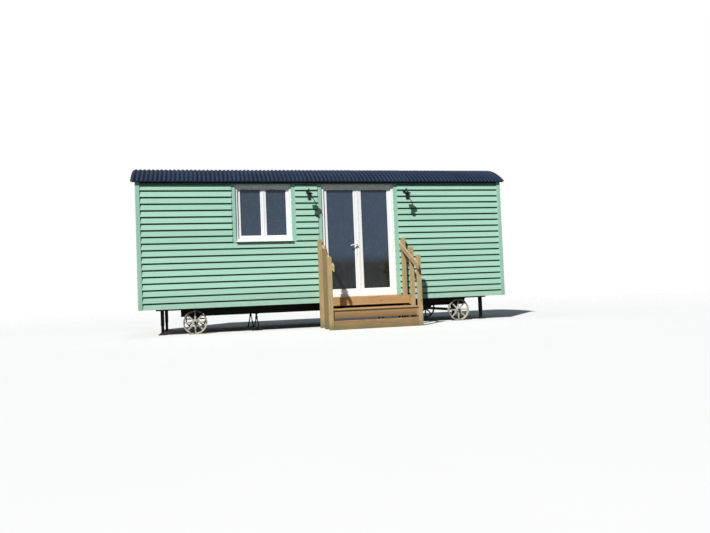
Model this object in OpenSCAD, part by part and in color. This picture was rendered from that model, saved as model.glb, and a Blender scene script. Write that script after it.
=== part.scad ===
// Shepherds hut on a low wheeled chassis: timber walls, a curved corrugated steel roof,
// a window, a pair of glazed doors that open inwards, and timber steps with handrails.
// Millimetres. Z = 0 is the ground, X runs along the front, and the front faces -Y.

/* [Hut] */
// Length over the cladding
hut_len = 6900; // [5700:50:8400]
// Width over the cladding
hut_wid = 2150; // [1790:10:2600]
// Height from the foot of the wall to the lower end of the roof's arc
eave_ht = 2232; // [2225:1:2700]
// Clear height from the ground to the foot of the wall
ground_gap = 460; // [420:5:560]
// Thickness of a wall, from sheathing to lining
wall_t = 100; // [80:2:125]
// Depth of the weatherboards, from the sheathing to their lips
clad_t = 36; // [30:1:42]
// Thickness of the floor
floor_t = 95; // [75:5:120]
// Width of the corner and opening trims
trim_w = 75; // [50:1:95]
// Thickness of the thin trims beside the openings
trim_t = 12; // [8:1:20]
// How far the corner trims stand out past the lips of the boards
corner_proud = 2; // [1:0.5:6]
// Height of the boards that close the wall under the roof's edge
eave_board_h = 32; // [24:1:48]

/* [Roof] */
// Rise of the roof's arc from its lower ends to its crown
roof_rise = 383; // [310:1:480]
// How far the roof sheets pass the front and back cladding
eave_out = 45; // [35:1:70]
// How far the roof boarding passes the front and back cladding
deck_over = 20; // [14:1:32]
// Thickness of the curved roof boarding
deck_t = 20; // [15:1:28]
// How far the roof boarding passes the end cladding
deck_out = 52; // [40:1:60]
// Pitch of the corrugations
corr_pitch = 76.2; // [60:0.1:92]
// Depth of the corrugations
corr_depth = 18; // [14:0.5:22]
// Modelled thickness of a roof sheet
sheet_t = 2; // [1.5:0.1:2.4]
// Wanted overhang of the sheets past the end cladding
sheet_out = 74; // [70:1:110]
// Corrugations that one sheet laps over the next
lap_corr = 1.5; // [1.5:1:3.5]

/* [Frames] */
// How far the window and door frames stand back from the lips of the boards
frame_set = 50; // [40:1:58]
// Depth of the window and door frames
frame_d = 70; // [64:1:76]
// Depth of the frame's outer lip, which covers the edge of a sash or leaf
lip_d = 24; // [18:1:28]
// How far the lip reaches over the opening behind it
lip_over = 14; // [10:1:17]
// Gap behind the lip, for the seal
seal_gap = 6; // [5:0.5:8]
// Thickness of a sash or door leaf
leaf_t = 56; // [46:1:64]
// Thickness of a sealed glass unit
glass_t = 24; // [18:1:28]
// Width of the bevel round the glass
bead_w = 10; // [6:1:14]
// Width of the cover strip along a meeting edge
strip_w = 14; // [10:1:20]

/* [Window] */
// Distance from the left end to the window frame
win_x = 1717; // [500:1:1990]
// Height of the underside of the window cill above the wall's foot
win_z = 1150; // [900:2:1250]
// Width of the window frame
win_w = 1014; // [820:2:1200]
// Height of the window frame and its cill
win_h = 1062; // [860:2:1080]
// Width of the frame's face
win_bar = 35; // [28:1:42]
// Width of a sash's side and top bars, to the glass
sash_bar = 76; // [62:1:92]
// Width of a sash's bar at the meeting edge, to the glass
sash_meet_bar = 55; // [46:1:70]
// Height of the cill at the frame
cill_t = 28; // [24:1:36]
// How far the cill stands out past the lips of the boards
cill_out = 30; // [20:1:50]
// How far the cill passes each side of the frame
cill_horn = 10; // [0:1:20]

/* [Doors] */
// Distance from the left end to the door frame
door_x = 3293; // [3100:1:3700]
// Height of the door frame's foot above the wall's foot
door_z = 95; // [95:1:110]
// Width of the door frame
door_w = 1400; // [1200:5:1680]
// Height of the door frame
door_h = 2126; // [1900:2:2130]
// Width of the door frame's face
door_bar = 48; // [40:1:58]
// Gap round a door leaf
leaf_gap = 6; // [5:0.5:7]
// Gap between the two leaves
meet_gap = 12; // [11:0.5:15]
// Width of the stile at the hinges, to the glass
hinge_stile = 79; // [66:1:95]
// Width of the stile where the leaves meet, to the glass
meet_stile = 76; // [64:1:92]
// Height of a leaf's top rail, to the glass
top_rail = 79; // [66:1:95]
// Height of a leaf's bottom rail, to the glass
bottom_rail = 105; // [88:1:130]
// Height of the handle's spindle above the leaf's foot
handle_z = 940; // [800:5:1100]

/* [Lamps] */
// Distance from the door frame to the middle of a lamp, before the pair's shift
lamp_side = 236; // [200:1:300]
// Height of the middle of a lamp's wall plate above the wall's foot
lamp_z = 2064; // [1750:1:2080]
// How far the lantern's axis stands out past the lips of the boards
lamp_out = 195; // [165:5:230]
// Height of the lantern's glass
lantern_h = 118; // [96:1:140]
// Radius of the lantern's frame at its foot
lantern_r1 = 32; // [26:1:40]
// Radius of the lantern's frame at its head
lantern_r2 = 50; // [42:1:60]
// Radius of the lantern's hood
hood_r = 73; // [64:1:84]

/* [Steps] */
// Clear width between the handrail posts
steps_w = 1535; // [1400:5:1850]
// Side of a square post
post_w = 73; // [60:1:90]
// How far the front of the lower step stands out from the trims
steps_run = 905; // [800:5:1090]
// Depth of the landing
landing_run = 492; // [410:2:590]
// Height of the landing above the wall's foot
landing_z = 90; // [60:1:94]
// Drop from the landing to the lower step
step_drop = 193; // [165:1:225]
// Thickness of the step and riser boards
board_t = 28; // [22:1:34]
// Thickness of the lower tread
tread_t = 28; // [22:1:36]
// Depth of the handrail planks
rail_h = 97; // [80:1:118]
// Height of the handrail's upper edge above the landing, at the wall
rail_rise = 1000; // [900:5:1200]
// Drop of the handrail for each unit of run
rail_slope = 0.45; // [0.36:0.01:0.54]
// How far the rear post stands above the rail
post_top = 98; // [80:1:116]

/* [Chassis] */
// Diameter of a wheel
wheel_dia = 420; // [350:5:430]
// Width of a wheel's rim
wheel_w = 70; // [56:1:85]
// Distance from each end of the hut to its axle
axle_in = 950; // [800:5:1400]
// Height of the timber runners under the floor
runner_h = 30; // [25:1:36]
// Height of the steel main beams
beam_h = 120; // [100:1:130]
// Side of a corner leg's outer tube
leg_w = 60; // [50:1:72]
// Distance from each end of the hut to its corner legs
leg_in = 380; // [330:5:480]

/* [Hidden] */

fit = 0.3;
eps = 1;
far = 10000;

// The roof is an arc about a level line above the hut's middle
arc_half = hut_wid / 2 + eave_out;
roof_r = (pow(arc_half, 2) + pow(roof_rise, 2)) / (2 * roof_rise);
roof_cz = eave_ht + roof_rise - roof_r;
eave_angle = asin(arc_half / roof_r);
deck_angle = asin((hut_wid / 2 + deck_over) / roof_r);
wall_top_r = roof_r - deck_t - fit;

// Whole corrugations that cover the length, shared between the sheets
sheets = 7;
lap_len = lap_corr * corr_pitch;
lap_rise = sheet_t * 1.2;
covered_corr = round((hut_len + 2 * sheet_out - lap_len) / corr_pitch);
roof_len = covered_corr * corr_pitch + lap_len;
corr_steps = 8;
function first_corr(i) = floor(i * covered_corr / sheets);

// Planes of the front, measured from the middle of the hut
face_y = -hut_wid / 2 + clad_t;
lip_y = -hut_wid / 2;
corner_y = lip_y - corner_proud;
frame_y = lip_y + frame_set;
leaf_y = frame_y + lip_d + seal_gap;
inner_x = clad_t + wall_t;
wall_over = eave_ht + roof_rise;
eave_foot = eave_ht - eave_board_h;
end_inset = trim_w - corner_proud;

// Door leaves, hinged at their inner faces
door_jamb = door_bar - lip_over;
open_x = door_x + door_jamb;
open_w = door_w - 2 * door_jamb;
leaf_z = door_z + door_jamb + leaf_gap;
leaf_h = door_h - 2 * door_jamb - 2 * leaf_gap;
leaf_w = (open_w - 2 * leaf_gap - meet_gap) / 2;
left_leaf_x = open_x + leaf_gap;
right_leaf_x = left_leaf_x + leaf_w + meet_gap;
glass_grip = 12;
strip_proud = 5;
strip_short = lip_over + 5;

// Door hinges
pin_r = 4;
pin_fit = 0.05;
knuckle_r = 8;
knuckle_h = 45;
knuckle_gap = 1;
pin_short = 10;
pivot_out = 9;
plate_t = 3;
leaf_plate_w = 40;
frame_plate_w = 26;
frame_step = leaf_y + leaf_t - frame_y - frame_d;
pivot_y = leaf_y + leaf_t + pivot_out;
hinge_zs = [leaf_z + 180, leaf_z + leaf_h / 2, leaf_z + leaf_h - 270];

// Window sashes
frame_z = win_z + cill_t;
frame_h = win_h - cill_t;
win_jamb = win_bar - lip_over;
sash_meet = 4;
sash_w = (win_w - 2 * win_jamb - sash_meet) / 2;
sash_h = frame_h - 2 * win_jamb;

// Lamps, whose arms climb from the wall and arch over to the lanterns
lamps_shift = -20;
lamp_plate_r = 34;
lamp_plate_t = 8;
lamp_arm_r = 9;
lamp_start = 35;
lamp_bend = 40;
lamp_climb = 30;
lamp_arch = 0.39 * lamp_out;
climb_y = lamp_start + lamp_bend * sin(lamp_climb);
climb_z = lamp_bend * (1 - cos(lamp_climb));
climb_len = (lamp_out - climb_y - lamp_arch * (1 + sin(lamp_climb))) / cos(lamp_climb);
arm_end_z = climb_z + climb_len * sin(lamp_climb) - lamp_arch * cos(lamp_climb);
arm_grip = 18;
lamp_glass_in = 8;
hood_h = 38;
lantern_z = arm_end_z + arm_grip - hood_h - lantern_h;

// Steps, centred a little to the right of the doors
steps_shift = 29;
steps_gap = 8;
rail_end_gap = 95;
steps_y = lip_y - steps_gap;
steps_x = door_x + door_w / 2 + steps_shift - steps_w / 2;
front_post_out = 8;
post_fronts = [post_w, landing_run + post_w / 2, steps_run + front_post_out];
tread_z = landing_z - step_drop;
landing_riser_gap = 45;
lower_riser_gap = 36;
base_h = 156;
nosing = 20;
deck_boards = 4;

// Running gear
main_beam_y = hut_wid / 2 - 350;
main_beam_w = 60;
main_beam_in = 700;
runner_in = 270;
axle_side = 50;
beam_foot = ground_gap - runner_h - beam_h;
wheel_in = 80;
wheel_y = hut_wid / 2 - wheel_in - wheel_w / 2;
stub_r = 20;
hub_out = 14;

// The model's origin is in the middle of its plan, so the hut stands back from it
front_y = steps_y - steps_run - rail_end_gap;
sheet_rise = corr_depth + sheet_t + lap_rise * (1 + lap_corr / first_corr(1));
back_reach = (roof_r + fit + sheet_rise) * sin(eave_angle);
hut_cy = (-front_y - back_reach) / 2;

timber = [0.80, 0.66, 0.45];
mint = [0.64, 0.82, 0.72];
white = [0.93, 0.94, 0.95];
navy = [0.16, 0.20, 0.30];
black = [0.08, 0.08, 0.09];
steel = [0.22, 0.21, 0.21];
rust = [0.33, 0.23, 0.18];
pane = [0.35, 0.42, 0.50, 0.5];
lamp_pane = [0.85, 0.85, 0.80, 0.6];

// Hut coordinates: x from the left end, y from the middle, z from the wall's foot
module in_hut() {
    translate([-hut_len / 2, hut_cy, ground_gap]) children();
}

// The same, standing on the ground
module on_ground() {
    translate([-hut_len / 2, hut_cy, 0]) children();
}

module both_ends() {
    children();
    translate([hut_len, 0, 0]) mirror([1, 0, 0]) children();
}

module both_sides() {
    children();
    mirror([0, 1, 0]) children();
}

// A solid bar along x whose section is the disc under the roof's arc
module roof_disc(r) {
    translate([-far / 2, 0, roof_cz]) rotate([0, 90, 0]) cylinder(r = r, h = 2 * far, $fn = 180);
}

// Keeps what lies under the roof boarding
module under_roof() {
    intersection() {
        children();
        roof_disc(wall_top_r);
    }
}

// A profile drawn in y and z, drawn out along x
module along_x(len) {
    rotate([90, 0, 90]) linear_extrude(len) children();
}

// An upright rectangular ring, w by h, with bars l, r, b and t, and depth d along y
module ring(w, h, l, r, b, t, d) {
    translate([0, d, 0]) rotate([90, 0, 0]) linear_extrude(d) difference() {
        square([w, h]);
        translate([l, b]) square([w - l - r, h - b - t]);
    }
}

// A hole w by h whose four sides open out by grow over its depth, towards -y
module bevel_hole(w, h, depth, grow) {
    out = grow * (depth + eps) / depth;
    intersection() {
        translate([0, 0, -out]) linear_extrude(h + 2 * out)
            polygon([[-out, -eps], [w + out, -eps], [w, depth], [0, depth]]);
        translate([-out, 0, 0]) along_x(w + 2 * out)
            polygon([[-eps, -out], [depth, 0], [depth, h], [-eps, h + out]]);
    }
}

// The sealed unit that a glazed ring of the same sizes holds in its groove
module pane_slab(w, h, l, r, b, t) {
    translate([l - glass_grip, (leaf_t - glass_t) / 2, b - glass_grip])
        cube([w - l - r + 2 * glass_grip, glass_t, h - b - t + 2 * glass_grip]);
}

// A sash or door leaf: a ring bevelled round its glass on both faces, with a groove for the unit
module glazed_ring(w, h, l, r, b, t) {
    bevel_d = (leaf_t - glass_t) / 2;
    difference() {
        ring(w, h, l, r, b, t, leaf_t);
        pane_slab(w, h, l, r, b, t);
        translate([l, 0, b]) bevel_hole(w - l - r, h - b - t, bevel_d, bead_w);
        translate([l, leaf_t, b]) mirror([0, 1, 0]) bevel_hole(w - l - r, h - b - t, bevel_d, bead_w);
    }
}

// Half of the strip that covers the joint of a pair, from x = -strip_w to the edge at x = 0
module cover_strip(h) {
    slope = strip_proud;
    translate([0, 0, strip_short]) linear_extrude(h - 2 * strip_short)
        polygon([[-strip_w, 0], [-strip_w + slope, -strip_proud], [0, -strip_proud], [0, 0]]);
}

// A frame with an outer lip; jamb is the width of its bars behind the lip
module lipped_frame(w, h, face, jamb) {
    ring(w, h, face, face, face, face, lip_d);
    translate([0, lip_d, 0]) ring(w, h, jamb, jamb, jamb, jamb, frame_d - lip_d);
}

// Floor and walls

module floor() {
    color(timber) in_hut()
        translate([inner_x, face_y + wall_t, 0])
            cube([hut_len - 2 * inner_x, hut_wid - 2 * inner_x, floor_t]);
}

module front_slab(x0, x1, z0, z1) {
    translate([x0, face_y, z0]) cube([x1 - x0, wall_t, z1 - z0]);
}

module front_wall_left() {
    color(mint) in_hut() under_roof() difference() {
        front_slab(inner_x, door_x, 0, wall_over);
        translate([win_x, face_y - eps, win_z]) cube([win_w, wall_t + 2 * eps, win_h]);
    }
}

module front_wall_right() {
    color(mint) in_hut() under_roof() front_slab(door_x + door_w, hut_len - inner_x, 0, wall_over);
}

module front_wall_over_door() {
    color(mint) in_hut() under_roof()
        front_slab(door_x, door_x + door_w, door_z + door_h, wall_over);
}

// Sill under the door frame, with a sloping nosing out to the landing
module door_sill_beam() {
    nose_top = door_z - 7;
    nose_foot = door_z - 31;
    drip = 6;
    nose_out = steps_gap - fit;
    color(timber) in_hut() translate([door_x, lip_y, 0]) along_x(door_w)
        polygon([[clad_t, 0], [clad_t + wall_t, 0], [clad_t + wall_t, door_z], [frame_set, door_z],
            [-nose_out, nose_top], [-nose_out, nose_foot - drip], [-nose_out + drip, nose_foot - drip],
            [2 * drip - nose_out, nose_foot], [clad_t, nose_foot]]);
}

module back_wall() {
    color(mint) in_hut() under_roof() mirror([0, 1, 0])
        front_slab(inner_x, hut_len - inner_x, 0, wall_over);
}

module end_wall() {
    color(mint) under_roof()
        translate([clad_t, face_y, 0]) cube([wall_t, -2 * face_y, wall_over]);
}

module left_end_wall() {
    in_hut() end_wall();
}

module right_end_wall() {
    in_hut() translate([hut_len, 0, 0]) mirror([1, 0, 0]) end_wall();
}

// Trims that cover the ends of the boards

// Angle-shaped posts at the corners, with the outer edge taken off
module corner_trims() {
    edge = 5;
    far_x = trim_w - corner_proud;
    far_y = corner_y + trim_w;
    color(mint) in_hut() both_ends() both_sides() under_roof() linear_extrude(wall_over)
        polygon([[-corner_proud + edge, corner_y], [far_x, corner_y], [far_x, face_y], [clad_t, face_y],
            [clad_t, far_y], [-corner_proud, far_y], [-corner_proud, corner_y + edge]]);
}

module front_trim(x, z0) {
    edge = 3;
    translate([x, face_y - trim_t, z0]) linear_extrude(eave_foot - z0)
        polygon([[0, edge], [edge, 0], [trim_w - edge, 0], [trim_w, edge], [trim_w, trim_t], [0, trim_t]]);
}

module opening_trims() {
    color(mint) in_hut() {
        front_trim(win_x - trim_w, win_z);
        front_trim(win_x + win_w, win_z);
        front_trim(door_x - trim_w, 0);
        front_trim(door_x + door_w, 0);
    }
}

module gable_trims() {
    thick = clad_t + corner_proud;
    color(mint) in_hut() both_ends() intersection() {
        translate([-corner_proud, lip_y + end_inset, 0])
            cube([thick, hut_wid - 2 * end_inset, wall_over]);
        difference() {
            roof_disc(wall_top_r);
            roof_disc(wall_top_r - trim_w);
        }
    }
}

// Roof: curved boarding, eave boards and lapped corrugated sheets

// A ring about the roof's axis, cut at an angle each side of its crown
module roof_arc(r_in, r_out, len, angle) {
    translate([0, 0, roof_cz]) rotate([0, 90, 0])
        rotate([0, 0, 180 - angle]) rotate_extrude(angle = 2 * angle, $fn = 180)
            translate([r_in, 0]) square([r_out - r_in, len]);
}

module roof_deck() {
    color(timber) in_hut() translate([-deck_out, 0, 0])
        roof_arc(roof_r - deck_t, roof_r, hut_len + 2 * deck_out, deck_angle);
}

// Boards under the edge of the roof, which close the top of the cladding
module eave_boards() {
    color(mint) in_hut() both_sides() under_roof()
        translate([end_inset, lip_y, eave_foot])
            cube([hut_len - 2 * end_inset, clad_t, wall_over]);
}

// Height of the underside of a sheet above the boarding, s along from its left edge
function corr_rise(s, n) = corr_depth / 2 * (1 - cos(360 * s / corr_pitch))
    + lap_rise * s / (n * corr_pitch);

module roof_sheet(i) {
    n = first_corr(i + 1) - first_corr(i);
    under_r = roof_r + fit;
    steps = (n + lap_corr) * corr_steps;
    under = [for (k = [0 : steps]) let (s = k * corr_pitch / corr_steps) [under_r + corr_rise(s, n), s]];
    over = [for (k = [steps : -1 : 0]) [under[k][0] + sheet_t, under[k][1]]];
    color(navy) in_hut()
        translate([(hut_len - roof_len) / 2 + first_corr(i) * corr_pitch, 0, roof_cz])
            rotate([0, 90, 0]) rotate([0, 0, 180 - eave_angle])
                rotate_extrude(angle = 2 * eave_angle, $fn = 180) polygon(concat(under, over));
}

// Window: a lipped frame, a cill with a drip groove, and two sashes behind the lip

module cill_profile() {
    front_t = 18;
    groove = 5;
    polygon([[-cill_out, groove], [-cill_out + groove, 0], [-cill_out + 2 * groove, 0],
        [-cill_out + 2 * groove, groove], [-cill_out + 3 * groove, groove],
        [-cill_out + 3 * groove, 0], [frame_set + frame_d, 0], [frame_set + frame_d, cill_t],
        [frame_set, cill_t], [-cill_out, front_t]]);
}

module window_frame() {
    horn_d = cill_out + clad_t - trim_t - fit;
    color(white) in_hut() {
        translate([win_x, frame_y, frame_z]) lipped_frame(win_w, frame_h, win_bar, win_jamb);
        translate([win_x, lip_y, win_z]) along_x(win_w) cill_profile();
        intersection() {
            translate([win_x - cill_horn, lip_y, win_z]) along_x(win_w + 2 * cill_horn) cill_profile();
            translate([win_x - cill_horn, lip_y - cill_out, win_z])
                cube([win_w + 2 * cill_horn, horn_d, cill_t]);
        }
    }
}

module in_left_sash() {
    in_hut() translate([win_x + win_jamb, leaf_y, frame_z + win_jamb]) children();
}

module in_right_sash() {
    in_hut() translate([win_x + win_w - win_jamb, leaf_y, frame_z + win_jamb]) mirror([1, 0, 0]) children();
}

module sash() {
    glazed_ring(sash_w, sash_h, sash_bar, sash_meet_bar, sash_bar, sash_bar);
    translate([sash_w, 0, 0]) cover_strip(sash_h);
}

module sash_pane() {
    pane_slab(sash_w, sash_h, sash_bar, sash_meet_bar, sash_bar, sash_bar);
}

module window_sashes() {
    color(white) {
        in_left_sash() sash();
        in_right_sash() sash();
    }
}

module window_glass() {
    color(pane) {
        in_left_sash() sash_pane();
        in_right_sash() sash_pane();
    }
}

// Doors: a lipped frame and two glazed leaves that open inwards

module door_frame() {
    color(white) in_hut() translate([door_x, frame_y, door_z])
        lipped_frame(door_w, door_h, door_bar, door_jamb);
}

module leaf() {
    color(white) {
        glazed_ring(leaf_w, leaf_h, hinge_stile, meet_stile, bottom_rail, top_rail);
        translate([leaf_w, 0, 0]) cover_strip(leaf_h);
    }
}

module leaf_pane() {
    pane_slab(leaf_w, leaf_h, hinge_stile, meet_stile, bottom_rail, top_rail);
}

module at_left_leaf() {
    in_hut() translate([left_leaf_x, leaf_y, leaf_z]) children();
}

module at_right_leaf() {
    in_hut() translate([right_leaf_x + leaf_w, leaf_y, leaf_z]) mirror([1, 0, 0]) children();
}

module left_door() {
    at_left_leaf() leaf();
}

module right_door() {
    at_right_leaf() leaf();
}

module left_door_glass() {
    color(pane) at_left_leaf() leaf_pane();
}

module right_door_glass() {
    color(pane) at_right_leaf() leaf_pane();
}

// Lever handle on a plate with round ends, standing out along -y from a face at y = 0
module lever() {
    plate_w = 30;
    plate_h = 220;
    plate_d = 8;
    reach = 48;
    lever_r = 10;
    lever_len = 120;
    droop = 12;
    cylinder_r = 8.5;
    key_drop = 75;
    end_z = (plate_h - plate_w) / 2;
    translate([0, 0, 20 - end_z]) rotate([90, 0, 0]) {
        linear_extrude(plate_d) union() {
            translate([-plate_w / 2, -end_z]) square([plate_w, 2 * end_z]);
            translate([0, -end_z]) circle(r = plate_w / 2);
            translate([0, end_z]) circle(r = plate_w / 2);
        }
        translate([0, end_z - 20 - key_drop, 0]) cylinder(r = cylinder_r, h = plate_d + 3);
    }
    rotate([90, 0, 0]) cylinder(r = lever_r + 5, h = plate_d + 4);
    rotate([90, 0, 0]) cylinder(r = lever_r, h = reach);
    translate([0, -reach, 0]) rotate([0, -droop, 0]) {
        rotate([0, -90, 0]) cylinder(r = lever_r, h = lever_len);
        sphere(r = lever_r);
        translate([-lever_len, 0, 0]) {
            sphere(r = lever_r);
            rotate([-90, 0, 0]) cylinder(r = lever_r, h = 16);
        }
    }
}

module door_handle() {
    color(white) at_left_leaf() translate([leaf_w - (meet_stile - bead_w + strip_w) / 2, 0, handle_z]) {
        lever();
        translate([0, leaf_t, 0]) mirror([0, 1, 0]) lever();
    }
}

// Half of a hinge on the door leaf, its knuckle over the pin; the leaf's face is towards -y
module hinge_leaf_half() {
    translate([0, 0, knuckle_h + knuckle_gap]) difference() {
        union() {
            cylinder(r = knuckle_r, h = knuckle_h);
            translate([leaf_gap / 2, -pivot_out, 0]) cube([leaf_plate_w, plate_t, knuckle_h]);
            translate([leaf_gap / 2, -pivot_out, 0]) cube([knuckle_r, pivot_out, knuckle_h]);
        }
        translate([0, 0, -eps]) cylinder(r = pin_r + pin_fit, h = knuckle_h - knuckle_r + eps);
    }
}

// Half of a hinge on the door frame, with its pin
module hinge_frame_half() {
    reach = pivot_out + frame_step;
    cylinder(r = knuckle_r, h = knuckle_h);
    cylinder(r = pin_r, h = 2 * knuckle_h - pin_short);
    translate([-leaf_gap / 2 - frame_plate_w, -reach, 0]) cube([frame_plate_w, plate_t, knuckle_h]);
    translate([-leaf_gap / 2 - knuckle_r, -reach, 0]) cube([knuckle_r, reach, knuckle_h]);
}

module at_left_pivots() {
    in_hut() for (z = hinge_zs)
        translate([left_leaf_x - leaf_gap / 2, pivot_y, z]) children();
}

module at_right_pivots() {
    in_hut() for (z = hinge_zs)
        translate([right_leaf_x + leaf_w + leaf_gap / 2, pivot_y, z]) mirror([1, 0, 0]) children();
}

module left_door_hinges() {
    color(white) at_left_pivots() hinge_leaf_half();
}

module right_door_hinges() {
    color(white) at_right_pivots() hinge_leaf_half();
}

module hinge_pins() {
    color(white) {
        at_left_pivots() hinge_frame_half();
        at_right_pivots() hinge_frame_half();
    }
}

// Wall lamps: a six-sided lantern that hangs from a curved arm

module at_lamps() {
    in_hut() for (x = [door_x - lamp_side, door_x + door_w + lamp_side])
        translate([x + lamps_shift, lip_y, lamp_z]) children();
}

// The foot of the lantern's glass
module at_lanterns() {
    at_lamps() translate([0, -lamp_out, lantern_z]) children();
}

// Turned wall plate about the z axis: a block through the boards, then a moulded face
module lamp_plate() {
    r = lamp_plate_r;
    rotate_extrude() polygon([[0, 0], [r - 6, 0], [r - 6, clad_t], [r, clad_t], [r, clad_t + 4],
        [r - 5, clad_t + lamp_plate_t], [r / 2, clad_t + lamp_plate_t], [r / 3, clad_t + 2 * lamp_plate_t],
        [0, clad_t + 2 * lamp_plate_t]]);
}

// A bend of the arm with its middle at the origin: 0 degrees is towards the wall, and 90 is up
module arm_bend(r, start, angle) {
    rotate([90, 0, 90]) rotate([0, 0, start]) rotate_extrude(angle = angle)
        translate([r, 0]) circle(r = lamp_arm_r);
}

module lamp_arm() {
    rotate([90, 0, 0]) cylinder(r = lamp_arm_r, h = lamp_start);
    translate([0, -lamp_start, lamp_bend]) arm_bend(lamp_bend, 270 - lamp_climb, lamp_climb);
    translate([0, -climb_y, climb_z]) rotate([90 - lamp_climb, 0, 0])
        cylinder(r = lamp_arm_r, h = climb_len);
    translate([0, lamp_arch - lamp_out, arm_end_z]) arm_bend(lamp_arch, 90 - lamp_climb, 90 + lamp_climb);
}

module lantern_bars() {
    lean = atan((lantern_r2 - lantern_r1) / lantern_h);
    bar_r = 3;
    for (a = [0 : 60 : 300])
        rotate([0, 0, a]) translate([lantern_r1, 0, 0]) rotate([0, lean, 0])
            cylinder(r = bar_r, h = lantern_h / cos(lean), $fn = 16);
}

// Head of the lantern: a flat rim, a six-sided hood, and a turned collar that the arm holds
module lantern_hood() {
    rim_t = 4;
    vent_r = 16;
    vent_h = 12;
    cylinder(r = hood_r, h = rim_t, $fn = 6);
    translate([0, 0, rim_t]) cylinder(r1 = hood_r - 2, r2 = vent_r, h = hood_h - vent_h - rim_t, $fn = 6);
    translate([0, 0, hood_h - vent_h]) rotate_extrude()
        polygon([[0, 0], [vent_r - 3, 0], [vent_r - 3, vent_h / 2], [lamp_arm_r + 4, vent_h], [0, vent_h]]);
}

// Foot of the lantern: a tray for the glass and a turned drop
module lantern_foot() {
    tray_r = lantern_r1 + 4;
    rotate_extrude() polygon([[0, 0], [tray_r, 0], [tray_r, -4], [tray_r / 2, -9], [4, -11], [6, -15],
        [4, -19], [0, -20]]);
}

module wall_lamps() {
    color(black) {
        at_lamps() {
            translate([0, clad_t, 0]) rotate([90, 0, 0]) lamp_plate();
            lamp_arm();
        }
        at_lanterns() {
            lantern_foot();
            lantern_bars();
            translate([0, 0, lantern_h]) lantern_hood();
        }
    }
}

module lamp_glass() {
    color(lamp_pane) at_lanterns()
        cylinder(r1 = lantern_r1 - lamp_glass_in, r2 = lantern_r2 - lamp_glass_in, h = lantern_h, $fn = 6);
}

// Steps

module in_steps() {
    in_hut() translate([steps_x, steps_y, 0]) children();
}

module each_rail_side() {
    children();
    translate([steps_w, 0, 0]) mirror([1, 0, 0]) children();
}

// Height of the handrail's upper edge at a distance out from the wall
function rail_z(run) = landing_z + rail_rise - rail_slope * run;

module step_posts() {
    edge = 6;
    color(timber) in_steps() each_rail_side()
        for (front = post_fronts) translate([-post_w, -front, 0]) {
            top = rail_z(front - post_w / 2) + post_top;
            translate([0, 0, -ground_gap]) cube([post_w, post_w, ground_gap + top - edge]);
            translate([0, 0, top - edge]) intersection() {
                along_x(post_w) polygon([[0, 0], [post_w, 0], [post_w - edge, edge], [edge, edge]]);
                translate([0, post_w, 0]) rotate([90, 0, 0]) linear_extrude(post_w)
                    polygon([[0, 0], [post_w, 0], [post_w - edge, edge], [edge, edge]]);
            }
        }
}

// Sloping planks on the inner faces of the posts, cut plumb at both ends
module handrails() {
    near = 10;
    reach = steps_run + rail_end_gap;
    deep = rail_h / cos(atan(rail_slope));
    color(timber) in_steps() each_rail_side()
        rotate([90, 0, -90]) mirror([0, 0, 1]) linear_extrude(board_t)
            polygon([[near, rail_z(near)], [reach, rail_z(reach)], [reach, rail_z(reach) - deep],
                [near, rail_z(near) - deep]]);
}

module landing() {
    gap = 5;
    depth = landing_run - board_t;
    board = (depth - (deck_boards - 1) * gap) / deck_boards;
    color(timber) in_steps() {
        for (k = [0 : deck_boards - 1])
            translate([0, -board - k * (board + gap), landing_z - board_t])
                cube([steps_w, board, board_t]);
        translate([board_t, -landing_run, tread_z + landing_riser_gap])
            cube([steps_w - 2 * board_t, board_t, step_drop - landing_riser_gap]);
    }
}

// Tread with a rounded nosing, its riser, and the board on the ground under it
module lower_step() {
    depth = steps_run - landing_run + board_t;
    nose_r = tread_t / 4;
    riser_foot = base_h + lower_riser_gap - ground_gap;
    color(timber) in_steps() {
        translate([0, -steps_run, tread_z - tread_t]) along_x(steps_w) union() {
            translate([nose_r, 0]) square([depth - nose_r, tread_t]);
            translate([0, nose_r]) square([nose_r, tread_t - 2 * nose_r]);
            translate([nose_r, nose_r]) circle(r = nose_r);
            translate([nose_r, tread_t - nose_r]) circle(r = nose_r);
        }
        translate([board_t, -steps_run + nosing, riser_foot])
            cube([steps_w - 2 * board_t, board_t, tread_z - tread_t - riser_foot]);
        translate([0, -steps_run, -ground_gap]) cube([steps_w, board_t, base_h]);
    }
}

// Boards on the inner faces of the posts that carry the landing and the lower step
module step_sides() {
    bearer_h = 145;
    color(timber) in_steps() each_rail_side() {
        translate([0, -landing_run, landing_z - board_t - bearer_h])
            cube([board_t, landing_run, bearer_h]);
        translate([0, -steps_run + nosing, tread_z - tread_t - bearer_h])
            cube([board_t, steps_run - nosing - post_w, bearer_h]);
    }
}

// Chassis

// Channel section, open towards +y, b wide and h high
module channel(b, h, thick) {
    difference() {
        square([b, h]);
        translate([thick, thick]) square([b, h - 2 * thick]);
    }
}

module chassis_beams() {
    web = 8;
    color(steel) on_ground() both_sides() {
        translate([runner_in, -main_beam_y - main_beam_w / 2, ground_gap - runner_h])
            cube([hut_len - 2 * runner_in, main_beam_w, runner_h]);
        translate([main_beam_in, -main_beam_y + main_beam_w / 2, beam_foot]) mirror([0, 1, 0])
            along_x(hut_len - 2 * main_beam_in) channel(main_beam_w, beam_h, web);
    }
}

module cross_members() {
    width = 50;
    thick = 6;
    drop = 20;
    bays = 5;
    first = main_beam_in + 60;
    span = hut_len - 2 * first - width;
    color(steel) on_ground() for (k = [0 : bays - 1])
        translate([first + k * span / (bays - 1), main_beam_y - main_beam_w / 2, beam_foot + drop])
            rotate([90, 0, 0]) linear_extrude(2 * main_beam_y - main_beam_w)
                channel(width, beam_h - 2 * drop, thick);
}

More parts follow.
